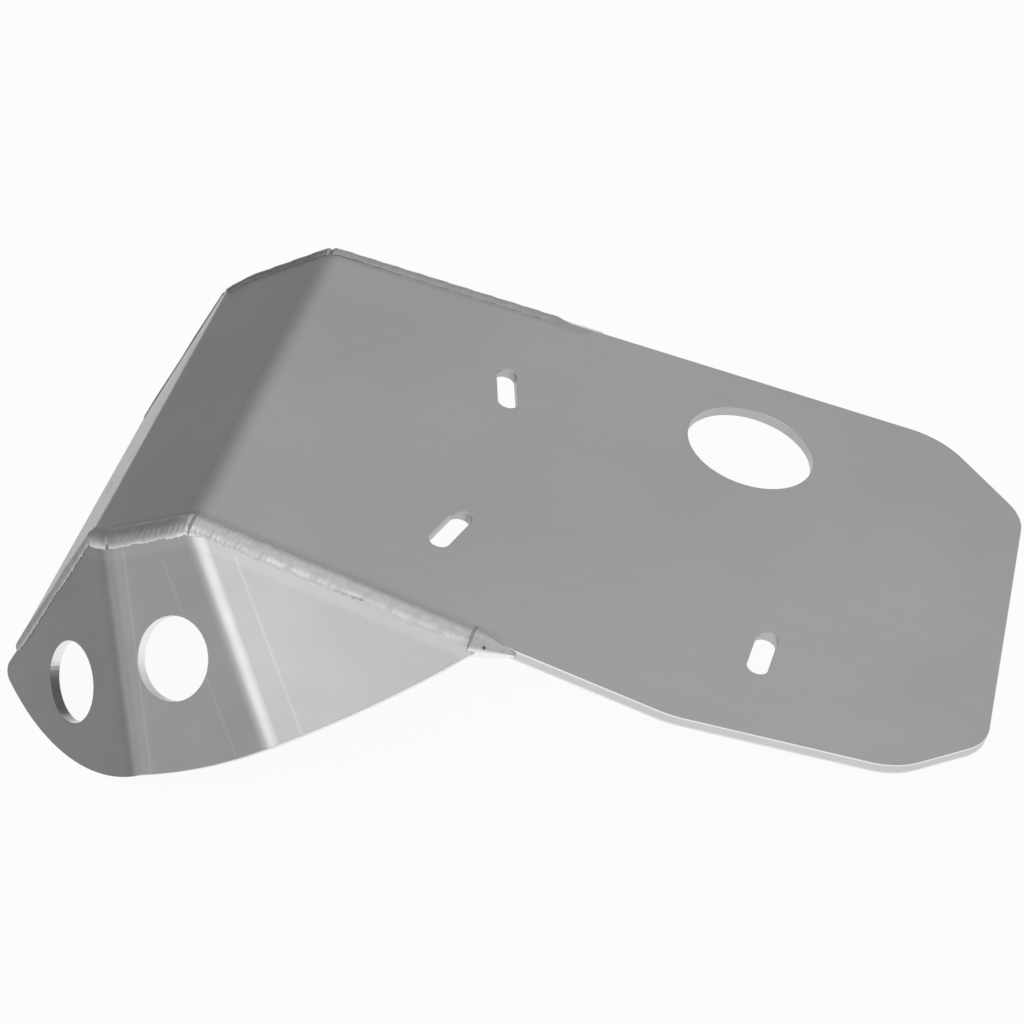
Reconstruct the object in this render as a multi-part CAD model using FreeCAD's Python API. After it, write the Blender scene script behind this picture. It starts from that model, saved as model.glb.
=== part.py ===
"""Motorcycle skid plate, welded from three pieces of folded aluminium plate.

The skid plate lies with its ground side up, as it would on a bench: it rests on the
rear edge of the main plate and on the lower edges of its two wings.
Millimetres. X runs from the nose to the rear, +Y is the left side of the motorcycle,
Z is up. The origin is below the middle of the whole part, on the surface it lies on.

Every piece is first made in the frame of the flat main panel: the outer face of the
panel is Z = 0 and the sharp line of the front fold is X = 0. The whole part is then
turned and set down on the surface.
"""
import math
import os

import FreeCAD, Part

Vector = FreeCAD.Vector

# Plate and folds
plate = 5.0
fold_radius = 13.0
nose_fold_radius = 3.0
front_fold_angle = 38.5
nose_fold_angle = 35.7
front_panel_length = 58.0
nose_length = 89.0

# Outline of the main panel, from the front fold to the rear edge
panel_length = 367.0
fold_half_width = 120.0
right_shoulder_x = 227.0
right_shoulder_half_width = 143.5
right_chamfer_x = 329.5
right_chamfer_half_width = 127.5
right_rear_half_width = 90.0
left_chamfer_x = 320.0
left_chamfer_half_width = 134.5
left_rear_half_width = 91.0
shoulder_radius = 40.0
chamfer_radius = 38.0
rear_corner_radius = 26.0

# Outline of the folded-down front, on each side
front_panel_narrowing_ratio = 0.13
nose_top_inset = 13.0
nose_bottom_inset = 20.5
nose_top_half_width = fold_half_width - nose_top_inset
nose_bottom_half_width = fold_half_width - nose_bottom_inset

# Wings: angle of each facet from the panel that it is welded to, and rise of each arc below
side_facet_angle = 43.0
cheek_facet_angle = 53.7
front_facet_angle = 44.4
front_fold_length = 105.5
rear_fold_length = 105.5
side_facet_rise = 2.3
cheek_facet_rise = 2.3
front_facet_radius = 121.0
wing_tip_radius = 6.0
side_facet_length = 140.5

# Holes and slots
access_hole_diameter = 38.1
cheek_hole_from_fold = 26.3
cheek_hole_down = 56.8
front_hole_from_fold = 45.5
front_hole_down = 57.8
drain_hole_diameter = 63.5
drain_hole_x = 229.0
drain_hole_y = 72.5
slot_width = 10.0
slot_length = 32.0
front_slot_x = 108.0
front_slot_y = 60.5
front_slot_shift = -6.7
front_slot_angle = 14.5
rear_slot_x = 259.5
rear_slot_y = -80.0
rear_slot_angle = 3.0
nose_slot_width = 9.0
nose_slot_length = 16.0
nose_slot_down = 44.0
middle_nose_slot_y = -16.5
right_nose_slot_y = -87.0

# Weld beads
bead_radius = 6.9
bead_depth = 1.3
nose_bead_radius = 5.4
nose_bead_depth = 0.0
ripple_pitch = 12.5
nose_ripple_pitch = 40.0
ripple_height = 0.25
ripple_lean = 0.7
side_bead_overrun = 6.5
end_plug_radius = 7.6
end_plug_length = 20.0
end_plug_rise = 3.0
end_plug_tip_radius = 1.2

# Working values
reach = 700.0
overrun = 8.0
tolerance = 0.001
half_turn = 180
edge_samples = 24
rest_steps = 20
LEFT = 1
RIGHT = -1


def unit(vector):
    """The vector with a length of one."""
    return vector * (1.0 / vector.Length)


def plane_through(point, normal):
    """A plane, as its unit normal and its distance from the origin along it."""
    normal = unit(normal)
    return normal, normal.dot(point)


def shifted(plane_value, distance):
    """The plane moved along its own normal."""
    return plane_value[0], plane_value[1] + distance


def meeting_point(first, second, third):
    """The point that three planes share."""
    (n1, d1), (n2, d2), (n3, d3) = first, second, third
    scale = 1.0 / n1.dot(n2.cross(n3))
    return (n2.cross(n3) * d1 + n3.cross(n1) * d2 + n1.cross(n2) * d3) * scale


def outside_of(plane_value):
    """A large block that fills the space on the outer side of a plane."""
    normal, distance = plane_value
    block = Part.makeBox(2 * reach, 2 * reach, reach, Vector(-reach, -reach, 0))
    block.Placement = FreeCAD.Placement(normal * distance, FreeCAD.Rotation(Vector(0, 0, 1), normal))
    return block


def mitre_plane(first, second):
    """The plane that halves the fold between two panels, facing the second one."""
    along = first[0].cross(second[0])
    on_fold = meeting_point(first, second, plane_through(Vector(0, 0, 0), along))
    return plane_through(on_fold, second[0] - first[0])


def folded_block(planes, radii):
    """A block bounded by the planes, with the edge between each two of them rounded."""
    block = Part.makeBox(2 * reach, 2 * reach, 2 * reach, Vector(-reach, -reach, -reach))
    for plane_value in planes:
        block = block.cut(outside_of(plane_value))
    for first, second, radius in zip(planes, planes[1:], radii):
        edges = [edge for edge in block.Edges if lies_on(edge, first) and lies_on(edge, second)]
        block = block.makeFillet(radius, edges)
    return block


def lies_on(edge, plane_value):
    """Whether a straight edge lies in a plane."""
    normal, distance = plane_value
    return all(abs(normal.dot(vertex.Point) - distance) < tolerance for vertex in edge.Vertexes)


def folded_plate(inner_planes, inner_radii):
    """Plate of even thickness folded along the lines where the inner planes meet."""
    outer_planes = [shifted(value, plate) for value in inner_planes]
    outer_radii = [radius + plate for radius in inner_radii]
    return folded_block(outer_planes, outer_radii).cut(folded_block(inner_planes, inner_radii))


def square_cutter(outline, normal):
    """The outline, drawn on an inner face, swept square through the plate."""
    face = Part.Face(outline)
    face.translate(normal * -overrun)
    return face.extrude(normal * (plate + 2 * overrun))


def trimmed_panels(sheet, inner_planes, cutters):
    """The folded plate with every panel cut square to its own outline."""
    result = None
    for index, cutter in enumerate(cutters):
        panel = sheet.common(cutter)
        if index > 0:
            back = mitre_plane(inner_planes[index - 1], inner_planes[index])
            panel = panel.cut(outside_of((back[0] * -1, -back[1])))
        if index < len(cutters) - 1:
            panel = panel.cut(outside_of(mitre_plane(inner_planes[index], inner_planes[index + 1])))
        result = panel if result is None else result.fuse(panel)
    return result.removeSplitter()


def polygon(points):
    """A closed wire through the points."""
    return Part.makePolygon(points + points[:1])


def rounded_polygon(points, radii):
    """A closed wire through the points, with each corner rounded by its radius."""
    edges = []
    ends = []
    count = len(points)
    for index, (corner, radius) in enumerate(zip(points, radii)):
        before = unit(points[index - 1] - corner)
        after = unit(points[(index + 1) % count] - corner)
        half = before.getAngle(after) / 2
        run = radius / math.tan(half)
        start = corner + before * run
        end = corner + after * run
        ends.append((start, end))
        if radius > 0:
            inward = unit(before + after)
            middle = corner + inward * (radius / math.sin(half) - radius)
            edges.append(Part.Arc(start, middle, end).toShape())
    for index in range(count):
        edges.append(Part.makeLine(ends[index][1], ends[(index + 1) % count][0]))
    return Part.Wire(Part.__sortEdges__(edges))


def beyond(start, end):
    """The point past the end of a line, in the line's own direction."""
    return end + unit(end - start) * overrun


# Planes of the main plate, on its inner side

main_outer = plane_through(Vector(0, 0, 0), Vector(0, 0, 1))
main_inner = shifted(main_outer, -plate)


def leaning_normal(angle):
    """Outer normal of a panel folded down by an angle, in degrees."""
    turn = math.radians(angle)
    return Vector(-math.sin(turn), 0, math.cos(turn))


def down_panel(angle):
    """Direction down a folded panel, away from its upper fold."""
    turn = math.radians(angle)
    return Vector(-math.cos(turn), 0, -math.sin(turn))


front_outer = plane_through(Vector(0, 0, 0), leaning_normal(front_fold_angle))
front_inner = shifted(front_outer, -plate)
nose_angle = front_fold_angle + nose_fold_angle
nose_top = down_panel(front_fold_angle) * front_panel_length
nose_outer = plane_through(nose_top, leaning_normal(nose_angle))
nose_inner = shifted(nose_outer, -plate)
nose_end = nose_top + down_panel(nose_angle) * nose_length


def across(y):
    """The upright plane at one place across the width."""
    return plane_through(Vector(0, y, 0), Vector(0, 1, 0))


def shoulder(side):
    """Place and half width of the first corner behind the front fold."""
    if side == RIGHT:
        return right_shoulder_x, right_shoulder_half_width
    return left_chamfer_x, left_chamfer_half_width


def edge_direction(side):
    """Direction of the main panel's side edge, running to the rear."""
    x, half_width = shoulder(side)
    return unit(Vector(x, side * (half_width - fold_half_width), 0))


def front_corner_of(side):
    """Inner corner of the main plate where its side edge meets the front fold."""
    along = edge_direction(side)
    side_plane = plane_through(Vector(0, side * fold_half_width, 0), along.cross(Vector(0, 0, 1)))
    return meeting_point(main_inner, front_inner, side_plane)


def nose_corners(side):
    """Inner corners of the nose panel, at its fold and at its lower end."""
    upper = meeting_point(front_inner, nose_inner, across(side * nose_top_half_width))
    lower = nose_end - nose_inner[0] * plate
    lower.y = side * nose_bottom_half_width
    return upper, lower


def wing_planes(side):
    """Inner planes of a wing: side facet, cheek facet and front facet."""
    corner = front_corner_of(side)
    upper, lower = nose_corners(side)
    down = unit(down_panel(front_fold_angle) + Vector(0, -side * front_panel_narrowing_ratio, 0))
    side_facet = turned_plane(main_inner[0], edge_direction(side), corner, side_facet_angle, side)
    cheek_facet = turned_plane(front_inner[0], down, corner, cheek_facet_angle, side)
    front_facet = turned_plane(nose_inner[0], unit(lower - upper), upper, front_facet_angle, side)
    return side_facet, cheek_facet, front_facet


def seam_points(side):
    """Inner corners of the main plate's edge, from the front fold down to the nose's end."""
    _, cheek_facet, front_facet = wing_planes(side)
    cheek = meeting_point(front_inner, cheek_facet, front_facet)
    return (front_corner_of(side), cheek) + nose_corners(side)


def turned_plane(panel_normal, along, point, angle, side):
    """The plane through a panel's edge, turned down from the panel by an angle."""
    outward = panel_normal.cross(along)
    if outward.y * side < 0:
        outward = outward * -1
    turn = math.radians(angle)
    return plane_through(point, panel_normal * math.cos(turn) + outward * math.sin(turn))


def fold_line(first, second):
    """Direction of the fold between two facets, running down the wing."""
    line = unit(first[0].cross(second[0]))
    return line if line.z < 0 else line * -1


# Main plate

def main_outline():
    """Outline of the main panel on its inner face, overrunning the front fold."""
    corners = []
    radii = []

    def corner(x, y, radius):
        corners.append(Vector(x, y, -plate))
        radii.append(radius)

    for side in (RIGHT, LEFT):
        along = edge_direction(side)
        start = seam_points(side)[0] - along * overrun
        row = [(start.x, start.y, 0)]
        if side == RIGHT:
            row.append((right_shoulder_x, -right_shoulder_half_width, shoulder_radius))
            row.append((right_chamfer_x, -right_chamfer_half_width, chamfer_radius))
            row.append((panel_length, -right_rear_half_width, rear_corner_radius))
        else:
            row.append((left_chamfer_x, left_chamfer_half_width, chamfer_radius))
            row.append((panel_length, left_rear_half_width, rear_corner_radius))
            row.reverse()
        for values in row:
            corner(*values)
    return rounded_polygon(corners, radii)


def front_outline():
    """Outline of the front panel on its inner face, overrunning both folds."""
    row = []
    for side in (RIGHT, LEFT):
        front_corner, cheek, nose_corner, _ = seam_points(side)
        half = [beyond(cheek, front_corner), cheek, beyond(cheek, nose_corner)]
        row += half if side == RIGHT else half[::-1]
    return polygon(row)


def nose_outline():
    """Outline of the nose panel on its inner face, overrunning the fold above it."""
    row = []
    for side in (RIGHT, LEFT):
        _, _, nose_corner, end = seam_points(side)
        half = [beyond(end, nose_corner), end]
        row += half if side == RIGHT else half[::-1]
    return polygon(row)


def slot_cutter(centre, along, normal, width, length):
    """A round-ended slot through the plate at a place on its outer face."""
    across_slot = unit(normal.cross(along)) * (width / 2)
    half_run = unit(along) * ((length - width) / 2)
    tip = unit(along) * (length / 2)
    first, second = centre + half_run, centre - half_run
    edges = [
        Part.makeLine(second + across_slot, first + across_slot),
        Part.Arc(first + across_slot, centre + tip, first - across_slot).toShape(),
        Part.makeLine(first - across_slot, second - across_slot),
        Part.Arc(second - across_slot, centre - tip, second + across_slot).toShape(),
    ]
    face = Part.Face(Part.Wire(edges))
    face.translate(normal * -(plate + overrun))
    return face.extrude(normal * (plate + 2 * overrun))


def hole_cutter(centre, normal, diameter):
    """A round hole through the plate at a place on its outer face."""
    start = centre - normal * (plate + overrun)
    return Part.makeCylinder(diameter / 2, plate + 2 * overrun, start, normal)


def slanted(angle, side):
    """Direction of a slot that leans to the rear at its inner end."""
    turn = math.radians(angle)
    return Vector(-side * math.sin(turn), math.cos(turn), 0)


def main_plate():
    """Main panel, front panel and nose panel, folded from one plate."""
    planes = [main_inner, front_inner, nose_inner]
    sheet = folded_plate(planes, [fold_radius, nose_fold_radius])
    outlines = [main_outline(), front_outline(), nose_outline()]
    cutters = [square_cutter(outline, value[0]) for outline, value in zip(outlines, planes)]
    body = trimmed_panels(sheet, planes, cutters)
    up = main_outer[0]
    tools = [hole_cutter(Vector(drain_hole_x, drain_hole_y, 0), up, drain_hole_diameter)]
    for side in (RIGHT, LEFT):
        centre = Vector(front_slot_x, side * front_slot_y + front_slot_shift, 0)
        tools.append(slot_cutter(centre, slanted(front_slot_angle, side), up, slot_width, slot_length))
    centre = Vector(rear_slot_x, rear_slot_y, 0)
    tools.append(slot_cutter(centre, slanted(rear_slot_angle, RIGHT), up, slot_width, slot_length))
    for y in (middle_nose_slot_y, right_nose_slot_y):
        centre = nose_top + down_panel(nose_angle) * nose_slot_down + Vector(0, y, 0)
        sideways = Vector(0, 1, 0)
        tools.append(slot_cutter(centre, sideways, nose_outer[0], nose_slot_width, nose_slot_length))
    return body.cut(tools)


# Wings

def square_to(fold, facet, rearward):
    """Direction within a facet square to a fold, to the rear or to the front."""
    direction = unit(facet[0].cross(fold))
    return direction if direction.x * rearward > 0 else direction * -1


def bowed_edge(start, end, facet, rise):
    """A lower edge of a facet: an arc that bows down from the straight line between its ends."""
    downward = unit(facet[0].cross(end - start))
    if downward.z > 0:
        downward = downward * -1
    return Part.Arc(start, (start + end) * 0.5 + downward * rise, end).toShape()


def side_facet_outline(side, facet, fold, fold_end):
    """Side facet: straight along the main panel, one long arc below."""
    front_corner = seam_points(side)[0]
    along = edge_direction(side)
    rear_tip = front_corner + along * side_facet_length
    top_start = front_corner - along * overrun
    low_start = fold_end - square_to(fold, facet, 1) * overrun
    edges = [
        Part.makeLine(top_start, rear_tip),
        bowed_edge(rear_tip, fold_end, facet, side_facet_rise),
        Part.makeLine(fold_end, low_start),
        Part.makeLine(low_start, top_start),
    ]
    return Part.Wire(edges)


def cheek_facet_outline(side, facet, folds, fold_ends):
    """Cheek facet: between its two folds, with a shallow arc below."""
    front_corner, cheek = seam_points(side)[:2]
    rear_end, front_end = fold_ends
    rear_off = square_to(folds[0], facet, 1)
    front_off = square_to(folds[1], facet, -1)
    rear_top = beyond(cheek, front_corner)
    front_top = beyond(front_corner, cheek)
    rear_low = rear_end + rear_off * overrun
    front_low = front_end + front_off * overrun
    edges = [
        Part.makeLine(rear_top, front_top),
        Part.makeLine(front_top, front_low),
        Part.makeLine(front_low, front_end),
        bowed_edge(front_end, rear_end, facet, cheek_facet_rise),
        Part.makeLine(rear_end, rear_low),
        Part.makeLine(rear_low, rear_top),
    ]
    return Part.Wire(edges)


def front_facet_outline(side, facet, fold, fold_end):
    """Front facet: straight beside the nose, one arc below, centred on its fold."""
    _, cheek, nose_corner, nose_low = seam_points(side)
    centre = fold_end - fold * front_facet_radius
    down = unit(nose_low - nose_corner)
    offset = nose_corner - centre
    half_b = offset.dot(down)
    tip_run = -half_b + math.sqrt(half_b ** 2 - offset.dot(offset) + front_facet_radius ** 2)
    tip = nose_corner + down * tip_run
    arc_middle = centre + unit((tip + fold_end) * 0.5 - centre) * front_facet_radius
    top_back = beyond(nose_corner, cheek)
    low_back = fold_end - square_to(fold, facet, -1) * overrun
    edges = [
        Part.makeLine(top_back, nose_corner),
        Part.makeLine(nose_corner, tip),
        Part.Arc(tip, arc_middle, fold_end).toShape(),
        Part.makeLine(fold_end, low_back),
        Part.makeLine(low_back, top_back),
    ]
    return Part.Wire(edges), tip


def rounded_tip(cutter, tip, normal):
    """The cutter with the corner at the wing's tip rounded."""
    edges = []
    for edge in cutter.Edges:
        middle = (edge.Vertexes[0].Point + edge.Vertexes[-1].Point) * 0.5
        if (middle - tip).cross(normal).Length < tolerance * edge.Length:
            edges.append(edge)
    return cutter.makeFillet(wing_tip_radius, edges)


def wing(side, main_body):
    """One wing: side, cheek and front facets folded from one plate, seated on the main plate."""
    planes = list(wing_planes(side))
    side_facet, cheek_facet, front_facet = planes
    sheet = folded_plate(planes, [fold_radius, fold_radius])
    rear_fold = fold_line(side_facet, cheek_facet)
    front_fold = fold_line(cheek_facet, front_facet)
    front_corner, cheek = seam_points(side)[:2]
    front_end = cheek + front_fold * front_fold_length
    rear_end = front_corner + rear_fold * rear_fold_length
    outline, tip = front_facet_outline(side, front_facet, front_fold, front_end)
    cutters = [
        square_cutter(side_facet_outline(side, side_facet, rear_fold, rear_end), side_facet[0]),
        square_cutter(
            cheek_facet_outline(side, cheek_facet, (rear_fold, front_fold), (rear_end, front_end)),
            cheek_facet[0],
        ),
        rounded_tip(square_cutter(outline, front_facet[0]), tip, front_facet[0]),
    ]
    body = trimmed_panels(sheet, planes, cutters)
    tools = []
    rows = (
        (cheek_facet, cheek_hole_from_fold, cheek_hole_down, 1),
        (front_facet, front_hole_from_fold, front_hole_down, -1),
    )
    for facet, from_fold, down, rearward in rows:
        off_fold = square_to(front_fold, facet, rearward) * from_fold
        centre = cheek + front_fold * down + off_fold + facet[0] * plate
        tools.append(hole_cutter(centre, facet[0], access_hole_diameter))
    return body.cut(tools + [main_body])


# Weld beads

def ripple_profile(length, radius, pitch):
    """Half section of a bead: a row of low ripples along the seam, rounded off at both ends."""
    count = max(1, round(length / pitch))
    step = length / count
    points = [Vector(-radius / 2, 0, 0), Vector(-radius / 3, radius * 2 / 3, 0), Vector(0, radius, 0)]
    for index in range(count):
        points.append(Vector((index + ripple_lean) * step, radius + ripple_height, 0))
        points.append(Vector((index + 1) * step, radius, 0))
    points.append(Vector(length + radius / 2, radius / 2, 0))
    points.append(Vector(length + radius / 2, 0, 0))
    return Part.Face(polygon(points))


def bead(start, end, size, outward, neighbours, extra=None):
    """A rippled bead in the open groove of a seam, trimmed by the plates beside it."""
    radius, depth, pitch = size
    profile = ripple_profile((end - start).Length, radius, pitch)
    body = profile.revolve(Vector(0, 0, 0), Vector(1, 0, 0), half_turn)
    turn = FreeCAD.Rotation(unit(end - start), Vector(0, 0, 0), outward, "XZY")
    body.Placement = FreeCAD.Placement(start - outward * depth, turn)
    if extra is not None:
        body = body.fuse(extra)
    below_seam = outside_of(plane_through(start, outward * -1))
    return largest(body.cut([below_seam] + neighbours))


def end_plug(seam_end, along):
    """The blob that closes the wing's rear tip and runs out along the main panel's edge."""
    run_out = along * end_plug_length + main_outer[0] * end_plug_rise
    return Part.makeCone(end_plug_radius, end_plug_tip_radius, run_out.Length, seam_end, run_out)


def largest(shape):
    """The largest solid of a shape."""
    return max(shape.Solids, key=lambda piece: piece.Volume)


def between(first, second):
    """The direction halfway between two planes' normals."""
    return unit(first[0] + second[0])


def wing_welds(side, main_body, wing_body):
    """The three beads that close one wing's seam."""
    front_corner, cheek, nose_corner, nose_low = seam_points(side)
    side_facet, cheek_facet, front_facet = wing_planes(side)
    wide = (bead_radius, bead_depth, ripple_pitch)
    narrow = (nose_bead_radius, nose_bead_depth, nose_ripple_pitch)
    plates = [main_body, wing_body]
    along = edge_direction(side)
    rear_end = front_corner + along * (side_facet_length - side_bead_overrun)
    plug = end_plug(rear_end, along)
    side_bead = bead(front_corner, rear_end, wide, between(main_inner, side_facet), plates, plug)
    plates.append(side_bead)
    front_bead = bead(front_corner, cheek, wide, between(front_inner, cheek_facet), plates)
    corner_bead = bead(cheek, nose_corner, wide, between(front_inner, front_facet), plates)
    front_bead = front_bead.fuse(corner_bead).removeSplitter()
    plates.append(front_bead)
    nose_bead = bead(nose_corner, nose_low, narrow, between(nose_inner, front_facet), plates)
    return side_bead, front_bead, nose_bead


# Resting place

def edge_points(body):
    """Points along a body's edges, close enough together to find what it rests on."""
    points = []
    for edge in body.Edges:
        points += edge.discretize(edge_samples)
    return points


def rest_turn(rear_points, wing_points):
    """Turn about Y, in radians, that brings the rear edge and the wings down together."""
    turn = 0.0
    for _ in range(rest_steps):
        def height(point):
            return point.z * math.cos(turn) - point.x * math.sin(turn)
        rear = min(rear_points, key=height)
        foot = min(wing_points, key=height)
        turn = math.atan2(rear.z - foot.z, rear.x - foot.x)
    return turn


def set_down(shapes, turn):
    """Turn every shape to its rest, over the origin and on the surface."""
    for shape in shapes.values():
        shape.rotate(Vector(0, 0, 0), Vector(0, 1, 0), math.degrees(turn))
    box = Part.makeCompound(list(shapes.values())).optimalBoundingBox(False, False)
    offset = Vector(-(box.XMin + box.XMax) / 2, -(box.YMin + box.YMax) / 2, -box.ZMin)
    for shape in shapes.values():
        shape.translate(offset)
    return offset


def build():
    """All pieces in the frame of the flat main panel."""
    shapes = {"main_plate": main_plate()}
    for side, name in ((RIGHT, "right"), (LEFT, "left")):
        shapes[name + "_wing"] = wing(side, shapes["main_plate"])
        beads = wing_welds(side, shapes["main_plate"], shapes[name + "_wing"])
        for part_name, body in zip(("side", "front", "nose"), beads):
            shapes[name + "_" + part_name + "_weld"] = body
    return shapes


pieces = build()
wing_edge = edge_points(pieces["right_wing"]) + edge_points(pieces["left_wing"])
rear_edge = [point for point in edge_points(pieces["main_plate"]) if point.x > panel_length / 2]
rest_angle = rest_turn(rear_edge, wing_edge)
rest_offset = set_down(pieces, rest_angle)

os.makedirs("parts", exist_ok=True)
for node_name, node_shape in pieces.items():
    node_shape.exportStep("parts/" + node_name + ".step")
    print(node_name, len(node_shape.Solids), node_shape.isValid(), round(node_shape.Volume))
print("rest angle", round(math.degrees(rest_angle), 3), "offset", rest_offset)
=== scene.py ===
"""Looks of the motorcycle skid plate: raw satin aluminium with bright weld beads."""
import math

import bpy
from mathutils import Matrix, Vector


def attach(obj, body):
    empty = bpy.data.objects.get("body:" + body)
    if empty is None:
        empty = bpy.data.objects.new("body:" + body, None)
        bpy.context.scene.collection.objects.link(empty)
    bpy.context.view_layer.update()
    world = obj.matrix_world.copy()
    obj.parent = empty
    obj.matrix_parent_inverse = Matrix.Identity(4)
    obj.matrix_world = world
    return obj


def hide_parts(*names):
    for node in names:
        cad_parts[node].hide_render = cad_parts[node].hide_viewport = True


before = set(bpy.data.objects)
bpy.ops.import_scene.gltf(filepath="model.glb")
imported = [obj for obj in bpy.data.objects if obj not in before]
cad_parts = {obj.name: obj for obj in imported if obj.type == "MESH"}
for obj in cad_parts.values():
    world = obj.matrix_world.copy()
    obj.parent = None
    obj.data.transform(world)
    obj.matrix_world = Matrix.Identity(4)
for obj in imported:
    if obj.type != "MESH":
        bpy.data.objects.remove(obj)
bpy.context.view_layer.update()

# Lengths are in metres and angles in degrees. A name that ends in _noise holds a scale and a detail.
# One that ends in _change holds where a smooth change starts and ends, then the value at each of the two.
# One that ends in _ends holds only where the change starts and ends. Gains and shares are plain factors.

# Camera, as the photograph was taken, with its lens and sensor in millimetres
camera_place = (0.3351, -1.2713, 0.9326)
camera_turn = (56.110, 4.031, 12.264)
camera_lens = 116.99
camera_sensor = 36.0

# World light: an even base and soft lobes, each with its direction, strength and tightness
world_colour = (1.0, 1.0, 1.0)
world_base = 0.22
world_lights = (
    ((0.0, -0.66, 0.75), 0.65, 8.0),
    ((-0.22, -0.72, 0.66), 2.5, 40.0),
    ((0.45, 0.55, 0.70), 0.47, 3.0),
    ((-0.75, -0.55, 0.37), 0.26, 6.0),
)

# Square lamp above the part
lamp_direction = (0.1, 0.1, 1.0)
lamp_target = (0.0, 0.0, 0.05)
lamp_distance = 2.5
lamp_width = 2.0
lamp_power = 4.0

# Floor
floor_width = 40.0
floor_colour = (0.95, 0.95, 0.95)
floor_roughness = 1.0
floor_shine = 0.0
floor_glow = 1.0
floor_whiteness = 0.94

# Metal colours
sheet_colour = (0.56, 0.567, 0.57)
nose_colour = (0.36, 0.37, 0.36)
nose_dark_colour = (0.30, 0.305, 0.30)
cut_colour = (0.62, 0.63, 0.63)
# Painted shade inside the holes: their walls are darker than the outline's cut edges
shaded_hole_wall_colour = (0.49, 0.495, 0.495)
wing_cut_colour = (0.90, 0.91, 0.91)
# Painted highlight along the rims of the main plate's outline
rim_highlight_colour = (0.95, 0.96, 0.96)
weld_colour = (0.71, 0.72, 0.72)
metal_share = 1.0

# Rolled sheet: clouds, rolling lines, roughness and fine grain
cloud_noise = (9.0, 4.0)
cloud_change = (0.25, 0.75, 0.96, 1.04)
rolling_stretch = (6.0, 260.0, 30.0)
rolling_noise = (1.0, 2.0)
rolling_change = (0.2, 0.8, 0.987, 1.013)
sheet_roughness_noise = (40.0, 4.0)
sheet_roughness_change = (0.2, 0.8, 0.34, 0.40)
grain_noise = (900.0, 2.0)
grain_strength = 0.04
grain_depth = 0.0002

# Rounded rims with a painted highlight along them, the painted highlight line along the main plate's
# outline, and cut edges, which are told from the panels by how little they face the panels' directions
rim_radius = 0.0006
rim_samples = 8
rim_highlight_change = (0.90, 0.995, 1.4, 1.0)
rim_highlight_width = 0.0009
lower_rim_highlight_share = 0.6
cut_change = (0.55, 0.75, 1.0, 0.0)

# Nose panel: its mottle, how squarely a point faces the nose's direction to count, and how squarely it
# faces its fold's direction to get the painted highlight along the fold
mottle_noise = (110.0, 6.0)
mottle_change = (0.3, 0.7, 0.0, 1.0)
nose_change = (0.93, 0.98, 0.0, 1.0)
nose_fold_highlight_change = (0.975, 0.998, 1.0, 1.35)

# Outer directions of the panels and of the right wing's facets; the left wing mirrors them
main_normal = (0.3176, 0.0, 0.9482)
front_normal = (-0.3418, 0.0, 0.9398)
nose_normal = (-0.826, 0.0, 0.5637)
side_normal = (0.1657, -0.6784, 0.7158)
cheek_normal = (-0.3, -0.7992, 0.5209)
facet_normal = (-0.6238, -0.6971, 0.3534)

# Main plate: how far its outer face is from the origin along its direction, and its thickness. The folded
# panels lie in front of one x. All holes and slots lie within one half width and in front of a rear x.
main_distance = 0.07734
plate_thickness = 0.005
front_fold_x = -0.110
holes_half_width = 0.110
holes_rear_x = 0.190

# Seams from the rear tip of each wing over the front fold, the wing's front bend and the nose fold to
# the lower end of the nose
right_seam = (
    (0.0139, -0.1346, 0.0716),
    (-0.1186, -0.1201, 0.1160),
    (-0.1593, -0.1145, 0.1012),
    (-0.1700, -0.1070, 0.0973),
    (-0.2192, -0.0995, 0.0252),
)
left_seam = (
    (0.0036, 0.1260, 0.0751),
    (-0.1186, 0.1201, 0.1160),
    (-0.1595, 0.1145, 0.1011),
    (-0.1700, 0.1070, 0.0973),
    (-0.2192, 0.0995, 0.0252),
)

# Tones beside the seams: a heat band with an uneven border on the wings and a dark line on the main
# plate, each along so many of a seam's lines, counted from the rear
heat_lines = 3
heat_band = 0.0102
heat_fade = 0.0012
heat_gain = 1.08
wobble_noise = (160.0, 3.0)
wobble = 0.0018
toe_lines = 2
toe_shadow = 0.0092
toe_shadow_core = 0.8
toe_shadow_share = 0.90

# Painted shade on each wing's front facet, and a stripe of painted shade and one of painted highlight
# beside its bend, by the distance past the bend
right_facet_shade_share = 0.39
left_facet_shade_share = 0.80
facet_shade_ends = (-0.006, 0.004)
bend_shade_share = 0.92
bend_shade_ends = (-0.014, -0.006)
bend_highlight_gain = 1.05
bend_highlight_ends = (-0.006, 0.002)
bend_plain_ends = (0.006, 0.014)

# Weld surface: lumps, ripples that fade away from the front fold, and roughness
lump_noise = (260.0, 5.0)
ripple_pitch = 0.0024
ripple_change = (0.005, 0.05, 0.30, 0.06)
ripple_strength = 0.35
ripple_depth = 0.0005
weld_roughness_change = (0.3, 0.7, 0.47, 0.56)

# Weld tones: clouds, painted shade on the top, a painted highlight on the lip toward the wing on the right
# welds, painted shade on the left welds, and darker front and nose welds
weld_cloud_noise = (420.0, 5.0)
weld_cloud_change = (0.25, 0.75, 0.93, 1.06)
weld_top_shade_change = (-0.9, 0.1, 0.84, 1.0)
weld_lip_highlight_change = (0.6, 0.95, 1.0, 1.5)
left_weld_shade_share = 0.80
front_weld_change = (-0.012, 0.0, 0.69, 1.0)
nose_weld_change = (-0.050, -0.044, 0.75, 1.0)

# Weld shape: the melted look, and where the plugs and the altered end of the left one start, as a run along
# the seam from the front fold
weld_voxel = 0.00036
weld_smoothing = 5
weld_smoothing_share = 0.5
weld_swell = 0.00006
smallest_island = 400
plug_start = 0.1343
left_plug_start = 0.116
left_plug_length = 0.85
left_plug_narrowing = 0.50

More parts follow.
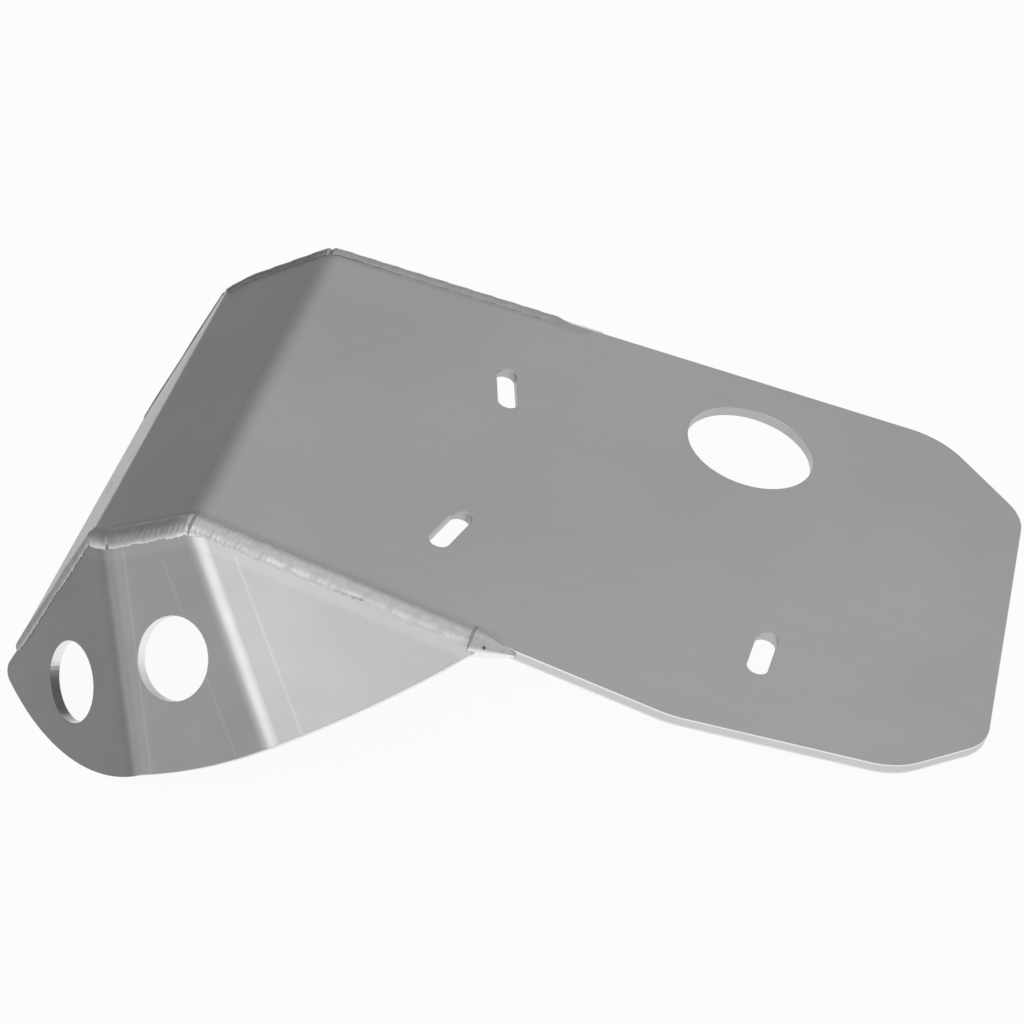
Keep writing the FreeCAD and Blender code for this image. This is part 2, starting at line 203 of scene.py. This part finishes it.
# Lines scribed on the right wing and mirrored on the left one. A mark's core is the share of its width, or
# of its radius, that has its full tone.
scribed_lines = (
    ((-0.1531, -0.1224, 0.1022), (-0.1322, -0.1809, 0.0245)),
    ((-0.1322, -0.1293, 0.1037), (-0.0895, -0.1856, 0.0419)),
    ((-0.0974, -0.1305, 0.1083), (-0.0594, -0.1806, 0.0520)),
)
scribe_width = 0.0009
scribe_core = 0.3
scribe_gain = 1.10

# Marks on the right side weld: a pinhole and a lap mark, which run into the metal roughly along the
# photograph's line of sight, and a notch across the bead where its plug starts
mark_direction = (0.220, -0.778, 0.589)
pinhole = (0.0151, -0.1409, 0.0765)
pinhole_radius = 0.0011
pinhole_core = 0.4
pinhole_share = 0.2
lap_mark = ((-0.0518, -0.1364, 0.0989), (-0.0394, -0.1367, 0.0947))
lap_wobble = 0.0022
lap_change = (0.0011, 0.0017, 0.62, 1.0)
notch_width = 0.0006
notch_core = 0.5
notch_reach = 1.6
notch_wobble = 0.001
notch_share = 0.58


def colour(rgb):
    """A colour with full opacity."""
    return tuple(rgb) + (1.0,)


def link(tree, source, target):
    """Join an output to an input."""
    tree.links.new(source, target)


def fill(tree, socket, value):
    """Give an input a fixed value, or join it to an output."""
    if isinstance(value, bpy.types.NodeSocket):
        link(tree, value, socket)
    else:
        socket.default_value = value


def new_material(name):
    """An empty node material with its shader."""
    material = bpy.data.materials.new(name)
    material.use_nodes = True
    tree = material.node_tree
    shader = tree.nodes["Principled BSDF"]
    return material, tree, shader


def maths(tree, operation, first, second=0.0, third=0.0):
    """The result of one number operation."""
    node = tree.nodes.new("ShaderNodeMath")
    node.operation = operation
    for socket, value in zip(node.inputs, (first, second, third)):
        fill(tree, socket, value)
    return node.outputs[0]


def product(tree, *factors):
    """Several numbers multiplied, from the first to the last."""
    total = factors[0]
    for factor in factors[1:]:
        total = maths(tree, "MULTIPLY", total, factor)
    return total


def vector_maths(tree, operation, first, second):
    """The result of one vector operation, as a number where it is one."""
    node = tree.nodes.new("ShaderNodeVectorMath")
    node.operation = operation
    fill(tree, node.inputs[0], first)
    fill(tree, node.inputs[1], second)
    return node.outputs["Value" if operation in ("DOT_PRODUCT", "DISTANCE") else "Vector"]


def scaled(tree, vector, factor):
    """A vector or colour multiplied by one number."""
    node = tree.nodes.new("ShaderNodeVectorMath")
    node.operation = "SCALE"
    fill(tree, node.inputs[0], vector)
    fill(tree, node.inputs["Scale"], factor)
    return node.outputs["Vector"]


def noise(tree, place, scale, detail):
    """Soft random tone from 0 to 1."""
    node = tree.nodes.new("ShaderNodeTexNoise")
    node.inputs["Scale"].default_value = scale
    node.inputs["Detail"].default_value = detail
    link(tree, place, node.inputs["Vector"])
    return node.outputs["Fac"]


def ramp(tree, value, near, far, near_value, far_value):
    """A smooth change from one value to another while the input goes from near to far."""
    node = tree.nodes.new("ShaderNodeMapRange")
    node.interpolation_type = "SMOOTHSTEP"
    node.inputs["From Min"].default_value = near
    node.inputs["From Max"].default_value = far
    node.inputs["To Min"].default_value = near_value
    node.inputs["To Max"].default_value = far_value
    link(tree, value, node.inputs["Value"])
    return node.outputs["Result"]


def blended(tree, share, first, second):
    """A colour between two, by a share."""
    node = tree.nodes.new("ShaderNodeMix")
    node.data_type = "RGBA"
    link(tree, share, node.inputs["Factor"])
    fill(tree, node.inputs["A"], first)
    fill(tree, node.inputs["B"], second)
    return node.outputs["Result"]


def bumped(tree, height, strength, depth):
    """A bump node for small heights."""
    bump = tree.nodes.new("ShaderNodeBump")
    bump.inputs["Strength"].default_value = strength
    bump.inputs["Distance"].default_value = depth
    link(tree, height, bump.inputs["Height"])
    return bump


def facing(tree, normal, direction):
    """How squarely the surface faces one direction, from -1 to 1."""
    return vector_maths(tree, "DOT_PRODUCT", normal, direction)


def length_share(tree, value, length):
    """The share of a length that a run has covered, held between 0 and 1."""
    node = tree.nodes.new("ShaderNodeMath")
    node.operation = "DIVIDE"
    node.use_clamp = True
    link(tree, value, node.inputs[0])
    node.inputs[1].default_value = length
    return node.outputs[0]


def line_distance(tree, place, start, end):
    """Distance of each point from the straight line between two points."""
    start = Vector(start)
    run = Vector(end) - start
    offset = vector_maths(tree, "SUBTRACT", place, start)
    along = vector_maths(tree, "DOT_PRODUCT", offset, run.normalized())
    nearest = scaled(tree, run, length_share(tree, along, run.length))
    return vector_maths(tree, "DISTANCE", offset, nearest)


def lines_distance(tree, place, lines):
    """Distance of each point from the nearest of several lines."""
    nearest = None
    for start, end in lines:
        distance = line_distance(tree, place, start, end)
        nearest = distance if nearest is None else maths(tree, "MINIMUM", nearest, distance)
    return nearest


def mark_distance(tree, place, start, end):
    """Distance from a mark that runs straight into the metal along the marks' direction."""
    direction = Vector(mark_direction).normalized()
    depth = vector_maths(tree, "DOT_PRODUCT", place, direction)
    flat_place = vector_maths(tree, "SUBTRACT", place, scaled(tree, direction, depth))
    flat_start = Vector(start) - direction * direction.dot(Vector(start))
    flat_end = Vector(end) - direction * direction.dot(Vector(end))
    return line_distance(tree, flat_place, flat_start, flat_end)


def seam_lines(seam, count):
    """The first lines of a seam, counted from its rear end."""
    return list(zip(seam, seam[1:count + 1]))


def seam_axis(seam):
    """Where a seam crosses the front fold, and its direction from there to the rear."""
    rear, fold = seam[:2]
    return Vector(fold), (Vector(rear) - Vector(fold)).normalized()


def mirrored(points, side):
    """The points for one side, 1 for the right as written and -1 for the left."""
    return [(x, y * side, z) for x, y, z in points]


def cut_share(tree, normal, directions, within=None):
    """1 on the cut edges and hole walls of a plate whose panels face the directions.

    The second and later panels count only within a part of the plate, if one is given.
    """
    flat = maths(tree, "ABSOLUTE", facing(tree, normal, directions[0]))
    for direction in directions[1:]:
        other = maths(tree, "ABSOLUTE", facing(tree, normal, direction))
        if within is not None:
            other = maths(tree, "MULTIPLY", other, within)
        flat = maths(tree, "MAXIMUM", flat, other)
    return ramp(tree, flat, *cut_change)


def rolled_metal(name):
    """Rolled aluminium with soft clouds, faint rolling lines and slightly rounded rims with a painted
    highlight.
    """
    material, tree, shader = new_material(name)
    place = tree.nodes.new("ShaderNodeTexCoord").outputs["Object"]
    geometry = tree.nodes.new("ShaderNodeNewGeometry")
    stretch = tree.nodes.new("ShaderNodeMapping")
    stretch.inputs["Scale"].default_value = rolling_stretch
    link(tree, place, stretch.inputs["Vector"])
    clouds = ramp(tree, noise(tree, place, *cloud_noise), *cloud_change)
    lines = ramp(tree, noise(tree, stretch.outputs["Vector"], *rolling_noise), *rolling_change)
    roughness = ramp(tree, noise(tree, place, *sheet_roughness_noise), *sheet_roughness_change)
    link(tree, roughness, shader.inputs["Roughness"])
    shader.inputs["Metallic"].default_value = metal_share
    rim = tree.nodes.new("ShaderNodeBevel")
    rim.samples = rim_samples
    rim.inputs["Radius"].default_value = rim_radius
    flush = facing(tree, rim.outputs["Normal"], geometry.outputs["Normal"])
    # The rims are made lighter by a gain: a painted highlight.
    gain = product(tree, clouds, lines, ramp(tree, flush, *rim_highlight_change))
    grain = bumped(tree, noise(tree, place, *grain_noise), grain_strength, grain_depth)
    link(tree, rim.outputs["Normal"], grain.inputs["Normal"])
    link(tree, grain.outputs["Normal"], shader.inputs["Normal"])
    return material, tree, shader, place, geometry.outputs["True Normal"], gain


def nose_and_sheet(tree, place, normal):
    """Colour of the main plate's faces: dull sheet with a mottled nose."""
    mottle = ramp(tree, noise(tree, place, *mottle_noise), *mottle_change)
    mottled = blended(tree, mottle, colour(nose_dark_colour), colour(nose_colour))
    on_nose = ramp(tree, facing(tree, normal, nose_normal), *nose_change)
    return blended(tree, on_nose, colour(sheet_colour), mottled)


def nose_glint(tree, normal):
    """A painted highlight: a brighter line along the fold between the front panel and the nose."""
    fold = (Vector(front_normal) + Vector(nose_normal)).normalized()
    return ramp(tree, facing(tree, normal, fold), *nose_fold_highlight_change)


def outside_holes(tree, axes):
    """1 beside and behind all the holes, where a cut edge of the main plate is its outline."""
    beside = maths(tree, "GREATER_THAN", maths(tree, "ABSOLUTE", axes.outputs["Y"]), holes_half_width)
    behind = maths(tree, "GREATER_THAN", axes.outputs["X"], holes_rear_x)
    return maths(tree, "MAXIMUM", beside, behind)


def rim_highlight_share(tree, place, cut, outside):
    """Where the painted highlight lies: 1 on the upper rim of the main plate's outline and less on the
    lower one.
    """
    height = facing(tree, place, main_normal)
    upper = ramp(tree, height, main_distance - rim_highlight_width, main_distance - rim_highlight_width / 2, 0.0, 1.0)
    lower_rim = main_distance - plate_thickness + rim_highlight_width / 2
    lower = ramp(tree, height, lower_rim, lower_rim + rim_highlight_width / 2, lower_rim_highlight_share, 0.0)
    return product(tree, maths(tree, "MAXIMUM", upper, lower), cut, outside)


def plate_metal():
    """The main plate: dull sheet, a mottled nose, bright cut edges, painted shade on the hole walls,
    painted highlights on the outline's rims and along the nose fold, and a painted shadow by the welds.
    """
    material, tree, shader, place, normal, gain = rolled_metal("plate_metal")
    axes = tree.nodes.new("ShaderNodeSeparateXYZ")
    link(tree, place, axes.inputs[0])
    in_front = maths(tree, "LESS_THAN", axes.outputs["X"], front_fold_x)
    cut = cut_share(tree, normal, (main_normal, front_normal, nose_normal), in_front)
    outside = outside_holes(tree, axes)
    # Painted shade inside the holes: their walls are darker than the outline's cut edges.
    cut_tone = blended(tree, outside, colour(shaded_hole_wall_colour), colour(cut_colour))
    base = blended(tree, cut, nose_and_sheet(tree, place, normal), cut_tone)
    # Painted highlight along the rims of the main plate's outline.
    base = blended(tree, rim_highlight_share(tree, place, cut, outside), base, colour(rim_highlight_colour))
    seams = seam_lines(right_seam, toe_lines) + seam_lines(left_seam, toe_lines)
    distance = lines_distance(tree, place, seams)
    shadow = ramp(tree, distance, toe_shadow_core * toe_shadow, toe_shadow, toe_shadow_share, 1.0)
    # Painted highlight along the nose fold.
    gain = product(tree, gain, nose_glint(tree, normal), shadow)
    link(tree, scaled(tree, base, gain), shader.inputs["Base Color"])
    return material


def beyond_bend(tree, place, start, facet, next_facet):
    """How far each point lies past the bend between two facets, less than 0 on the first one."""
    middle = Vector(facet) + Vector(next_facet)
    bend = Vector(facet).cross(Vector(next_facet))
    across = bend.cross(middle).normalized()
    if across.dot(Vector(next_facet)) < 0:
        across.negate()
    return vector_maths(tree, "DOT_PRODUCT", vector_maths(tree, "SUBTRACT", place, Vector(start)), across)


def painted_bend_shading(tree, past_bend, facet_shade_share):
    """Painted shade on the front facet, then a stripe of painted shade and one of painted highlight beside
    the bend, then plain sheet.
    """
    # dull is painted shade on the front facet; dark and light are a painted shade stripe and a painted
    # highlight stripe beside the bend; plain takes the highlight back off past it.
    dull = ramp(tree, past_bend, *facet_shade_ends, facet_shade_share, 1.0)
    dark = ramp(tree, past_bend, *bend_shade_ends, 1.0, bend_shade_share)
    light = ramp(tree, past_bend, *bend_highlight_ends, 1.0, bend_highlight_gain / bend_shade_share)
    plain = ramp(tree, past_bend, *bend_plain_ends, 1.0, 1 / bend_highlight_gain)
    return product(tree, dull, dark, light, plain)


def heat_tone(tree, place, seam):
    """A brighter band of uneven width beside a seam."""
    waver = maths(tree, "MULTIPLY", noise(tree, place, *wobble_noise), wobble)
    distance = lines_distance(tree, place, seam_lines(seam, heat_lines))
    distance = maths(tree, "ADD", distance, waver)
    return ramp(tree, distance, heat_band, heat_band + heat_fade, heat_gain, 1.0)


def wing_metal(name, seam, side, facet_shade_share):
    """A wing: sheet with a heat band under its welds, scribed lines, painted shade on its front facet and a
    painted shade and highlight stripe beside its bend.
    """
    material, tree, shader, place, normal, gain = rolled_metal(name)
    rear_facet, cheek, front_facet = mirrored((side_normal, cheek_normal, facet_normal), side)
    cut = cut_share(tree, normal, (rear_facet, cheek, front_facet))
    bend_start = seam[2]
    past_bend = beyond_bend(tree, place, bend_start, front_facet, cheek)
    # Painted shade and highlight by the bend, left off the cut edges.
    facets = maths(tree, "MAXIMUM", painted_bend_shading(tree, past_bend, facet_shade_share), cut)
    heat = heat_tone(tree, place, seam)
    lines = [mirrored(line, side) for line in scribed_lines]
    distance = lines_distance(tree, place, lines)
    scribed = ramp(tree, distance, scribe_core * scribe_width, scribe_width, scribe_gain, 1.0)
    base = blended(tree, cut, colour(sheet_colour), colour(wing_cut_colour))
    gain = product(tree, gain, facets, heat, scribed)
    link(tree, scaled(tree, base, gain), shader.inputs["Base Color"])
    return material


def ripples(tree, run, lumps):
    """Heights of the lumps and of fine ripples across a bead, clearest near the front fold."""
    bent = maths(tree, "MULTIPLY_ADD", lumps, ripple_pitch, run)
    wave = maths(tree, "SINE", maths(tree, "MULTIPLY", bent, 2 * math.pi / ripple_pitch))
    strength = ramp(tree, maths(tree, "ABSOLUTE", run), *ripple_change)
    return maths(tree, "MULTIPLY_ADD", wave, strength, lumps)


def weld_marks(tree, place, run, lumps):
    """Tones of the pinhole, the lap mark and the notch where the plug starts."""
    pit_distance = mark_distance(tree, place, pinhole, pinhole)
    pit = ramp(tree, pit_distance, pinhole_core * pinhole_radius, pinhole_radius, pinhole_share, 1.0)
    lap_distance = maths(tree, "MULTIPLY_ADD", lumps, lap_wobble, mark_distance(tree, place, *lap_mark))
    lap = ramp(tree, lap_distance, *lap_change)
    from_notch = maths(tree, "SUBTRACT", run, plug_start)
    beside = maths(tree, "ABSOLUTE", maths(tree, "MULTIPLY_ADD", lumps, notch_wobble, from_notch))
    notch = ramp(tree, beside, notch_core * notch_width, notch_reach * notch_width, notch_share, 1.0)
    return [pit, lap, notch]


def weld_metal(name, seam, side):
    """A weld bead: matt, lumpy and finely rippled, with painted shade on its top."""
    material, tree, shader = new_material(name)
    place = tree.nodes.new("ShaderNodeTexCoord").outputs["Object"]
    fold, along = seam_axis(seam)
    run = vector_maths(tree, "DOT_PRODUCT", vector_maths(tree, "SUBTRACT", place, fold), along)
    lumps = noise(tree, place, *lump_noise)
    bump = bumped(tree, ripples(tree, run, lumps), ripple_strength, ripple_depth)
    link(tree, bump.outputs["Normal"], shader.inputs["Normal"])
    above, beside = mirrored((main_normal, side_normal), side)
    toward_wing = (Vector(beside) - Vector(above)).normalized()
    tilt = facing(tree, tree.nodes.new("ShaderNodeNewGeometry").outputs["Normal"], toward_wing)
    tones = [ramp(tree, noise(tree, place, *weld_cloud_noise), *weld_cloud_change)]
    # Painted shade: the top of the bead, which faces up like the main plate, is darker.
    tones.append(ramp(tree, tilt, *weld_top_shade_change))
    if side < 0:
        # Painted shade on the left welds.
        tones.append(left_weld_shade_share)
    else:
        # Painted highlight on the lip toward the wing.
        tones.append(ramp(tree, tilt, *weld_lip_highlight_change))
        tones.extend(weld_marks(tree, place, run, lumps))
    tones.append(ramp(tree, run, *front_weld_change))
    tones.append(ramp(tree, run, *nose_weld_change))
    link(tree, scaled(tree, weld_colour, product(tree, *tones)), shader.inputs["Base Color"])
    shader.inputs["Metallic"].default_value = metal_share
    link(tree, ramp(tree, lumps, *weld_roughness_change), shader.inputs["Roughness"])
    return material


def open_socket(sockets, name):
    """The socket of that name which the node's settings have switched on."""
    return [socket for socket in sockets if socket.name == name and socket.enabled][0]


def speck_remover():
    """Nodes that delete loose specks of a mesh, which have few points."""
    group = bpy.data.node_groups.new("remove specks", "GeometryNodeTree")
    for direction in ("INPUT", "OUTPUT"):
        group.interface.new_socket("Geometry", in_out=direction, socket_type="NodeSocketGeometry")
    source = group.nodes.new("NodeGroupInput")
    result = group.nodes.new("NodeGroupOutput")
    island = group.nodes.new("GeometryNodeInputMeshIsland")
    count = group.nodes.new("GeometryNodeAccumulateField")
    count.data_type = "INT"
    count.domain = "POINT"
    link(group, island.outputs["Island Index"], count.inputs["Group ID"])
    small = group.nodes.new("FunctionNodeCompare")
    small.data_type = "INT"
    small.operation = "LESS_THAN"
    link(group, open_socket(count.outputs, "Total"), open_socket(small.inputs, "A"))
    open_socket(small.inputs, "B").default_value = smallest_island
    remove = group.nodes.new("GeometryNodeDeleteGeometry")
    remove.domain = "POINT"
    link(group, source.outputs["Geometry"], remove.inputs["Geometry"])
    link(group, small.outputs["Result"], remove.inputs["Selection"])
    link(group, remove.outputs["Geometry"], result.inputs["Geometry"])
    return group


def soften(weld, remover):
    """Round off a bead's sharp lips, as melted metal sets, and fill it out to the plates."""
    remesh = weld.modifiers.new("even mesh", "REMESH")
    remesh.mode = "VOXEL"
    remesh.voxel_size = weld_voxel
    remesh.use_smooth_shade = True
    smooth = weld.modifiers.new("flow", "SMOOTH")
    smooth.factor = weld_smoothing_share
    smooth.iterations = weld_smoothing
    swell = weld.modifiers.new("fill to the plates", "DISPLACE")
    swell.strength = weld_swell
    swell.mid_level = 0.0
    clean = weld.modifiers.new("remove specks", "NODES")
    clean.node_group = remover


def short_plug(weld, seam):
    """A copy of a side weld whose rear end narrows and is a little shorter."""
    piece = weld.copy()
    piece.data = weld.data.copy()
    piece.name = "left_side_bead"
    bpy.context.collection.objects.link(piece)
    fold, along = seam_axis(seam)
    for vertex in piece.data.vertices:
        run = along.dot(vertex.co - fold)
        past = run - left_plug_start
        if past > 0:
            on_seam = fold + along * run
            moved = fold + along * (left_plug_start + past * left_plug_length)
            width = 1 - left_plug_narrowing * min(past / (plug_start - left_plug_start), 1)
            vertex.co = moved + (vertex.co - on_seam) * width
    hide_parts(weld.name)
    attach(piece, "root")
    return piece


def place_camera():
    """The camera at the photograph's viewing angle."""
    data = bpy.data.cameras.new("camera")
    data.lens = camera_lens
    data.sensor_width = camera_sensor
    camera = bpy.data.objects.new("camera", data)
    camera.location = camera_place
    camera.rotation_euler = [math.radians(angle) for angle in camera_turn]
    bpy.context.collection.objects.link(camera)
    bpy.context.scene.camera = camera


def make_floor():
    """A plain near-white floor that keeps the part's shadow, lightened as in a bright studio."""
    bpy.ops.mesh.primitive_plane_add(size=floor_width)
    floor = bpy.context.object
    floor.name = "floor"
    material, tree, shader = new_material("floor")
    shader.inputs["Base Color"].default_value = colour(floor_colour)
    shader.inputs["Roughness"].default_value = floor_roughness
    shader.inputs["Specular IOR Level"].default_value = floor_shine
    glow = tree.nodes.new("ShaderNodeEmission")
    glow.inputs["Strength"].default_value = floor_glow
    path = tree.nodes.new("ShaderNodeLightPath")
    seen = maths(tree, "MAXIMUM", path.outputs["Is Camera Ray"], path.outputs["Is Glossy Ray"])
    seen = maths(tree, "MAXIMUM", seen, path.outputs["Is Transmission Ray"])
    mix = tree.nodes.new("ShaderNodeMixShader")
    link(tree, maths(tree, "MULTIPLY", seen, floor_whiteness), mix.inputs["Fac"])
    link(tree, shader.outputs[0], mix.inputs[1])
    link(tree, glow.outputs[0], mix.inputs[2])
    link(tree, mix.outputs[0], tree.nodes["Material Output"].inputs["Surface"])
    floor.data.materials.append(material)


def make_lamp():
    """A soft square lamp that looks at the middle of the part."""
    data = bpy.data.lights.new("top", "AREA")
    data.shape = "SQUARE"
    data.size = lamp_width
    data.energy = lamp_power
    lamp = bpy.data.objects.new("top", data)
    aim = Vector(lamp_target)
    lamp.location = aim + Vector(lamp_direction).normalized() * lamp_distance
    lamp.rotation_euler = (aim - lamp.location).to_track_quat("-Z", "Y").to_euler()
    bpy.context.collection.objects.link(lamp)


def make_world():
    """Even light from all round with soft brighter lobes far away."""
    world = bpy.data.worlds.new("world")
    world.use_nodes = True
    tree = world.node_tree
    place = tree.nodes.new("ShaderNodeTexCoord").outputs["Generated"]
    total = world_base
    for direction, strength, tightness in world_lights:
        toward = facing(tree, place, Vector(direction).normalized())
        lobe = maths(tree, "POWER", maths(tree, "MAXIMUM", toward, 0.0), tightness)
        total = maths(tree, "MULTIPLY_ADD", lobe, strength, total)
    background = tree.nodes["Background"]
    background.inputs["Color"].default_value = colour(world_colour)
    link(tree, total, background.inputs["Strength"])
    bpy.context.scene.world = world


def piece_materials():
    """The material of each CAD piece, by its name."""
    by_name = {"main_plate": plate_metal()}
    sides = (
        ("right", right_seam, 1, right_facet_shade_share),
        ("left", left_seam, -1, left_facet_shade_share),
    )
    for side_name, seam, side, facet_shade_share in sides:
        by_name[side_name + "_wing"] = wing_metal(side_name + "_wing_metal", seam, side, facet_shade_share)
        bead = weld_metal(side_name + "_weld_metal", seam, side)
        for part_name in ("side", "front", "nose"):
            by_name[side_name + "_" + part_name + "_weld"] = bead
    return by_name


bpy.context.scene.view_settings.view_transform = "Standard"
place_camera()
make_floor()
make_world()
make_lamp()

materials = piece_materials()
for name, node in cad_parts.items():
    node.data.materials.clear()
    node.data.materials.append(materials[name])

full_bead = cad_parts["left_side_weld"]
welds = [node for name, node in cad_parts.items() if name.endswith("weld")]
welds.remove(full_bead)
welds.append(short_plug(full_bead, left_seam))
remover = speck_remover()
for weld in welds:
    soften(weld, remover)
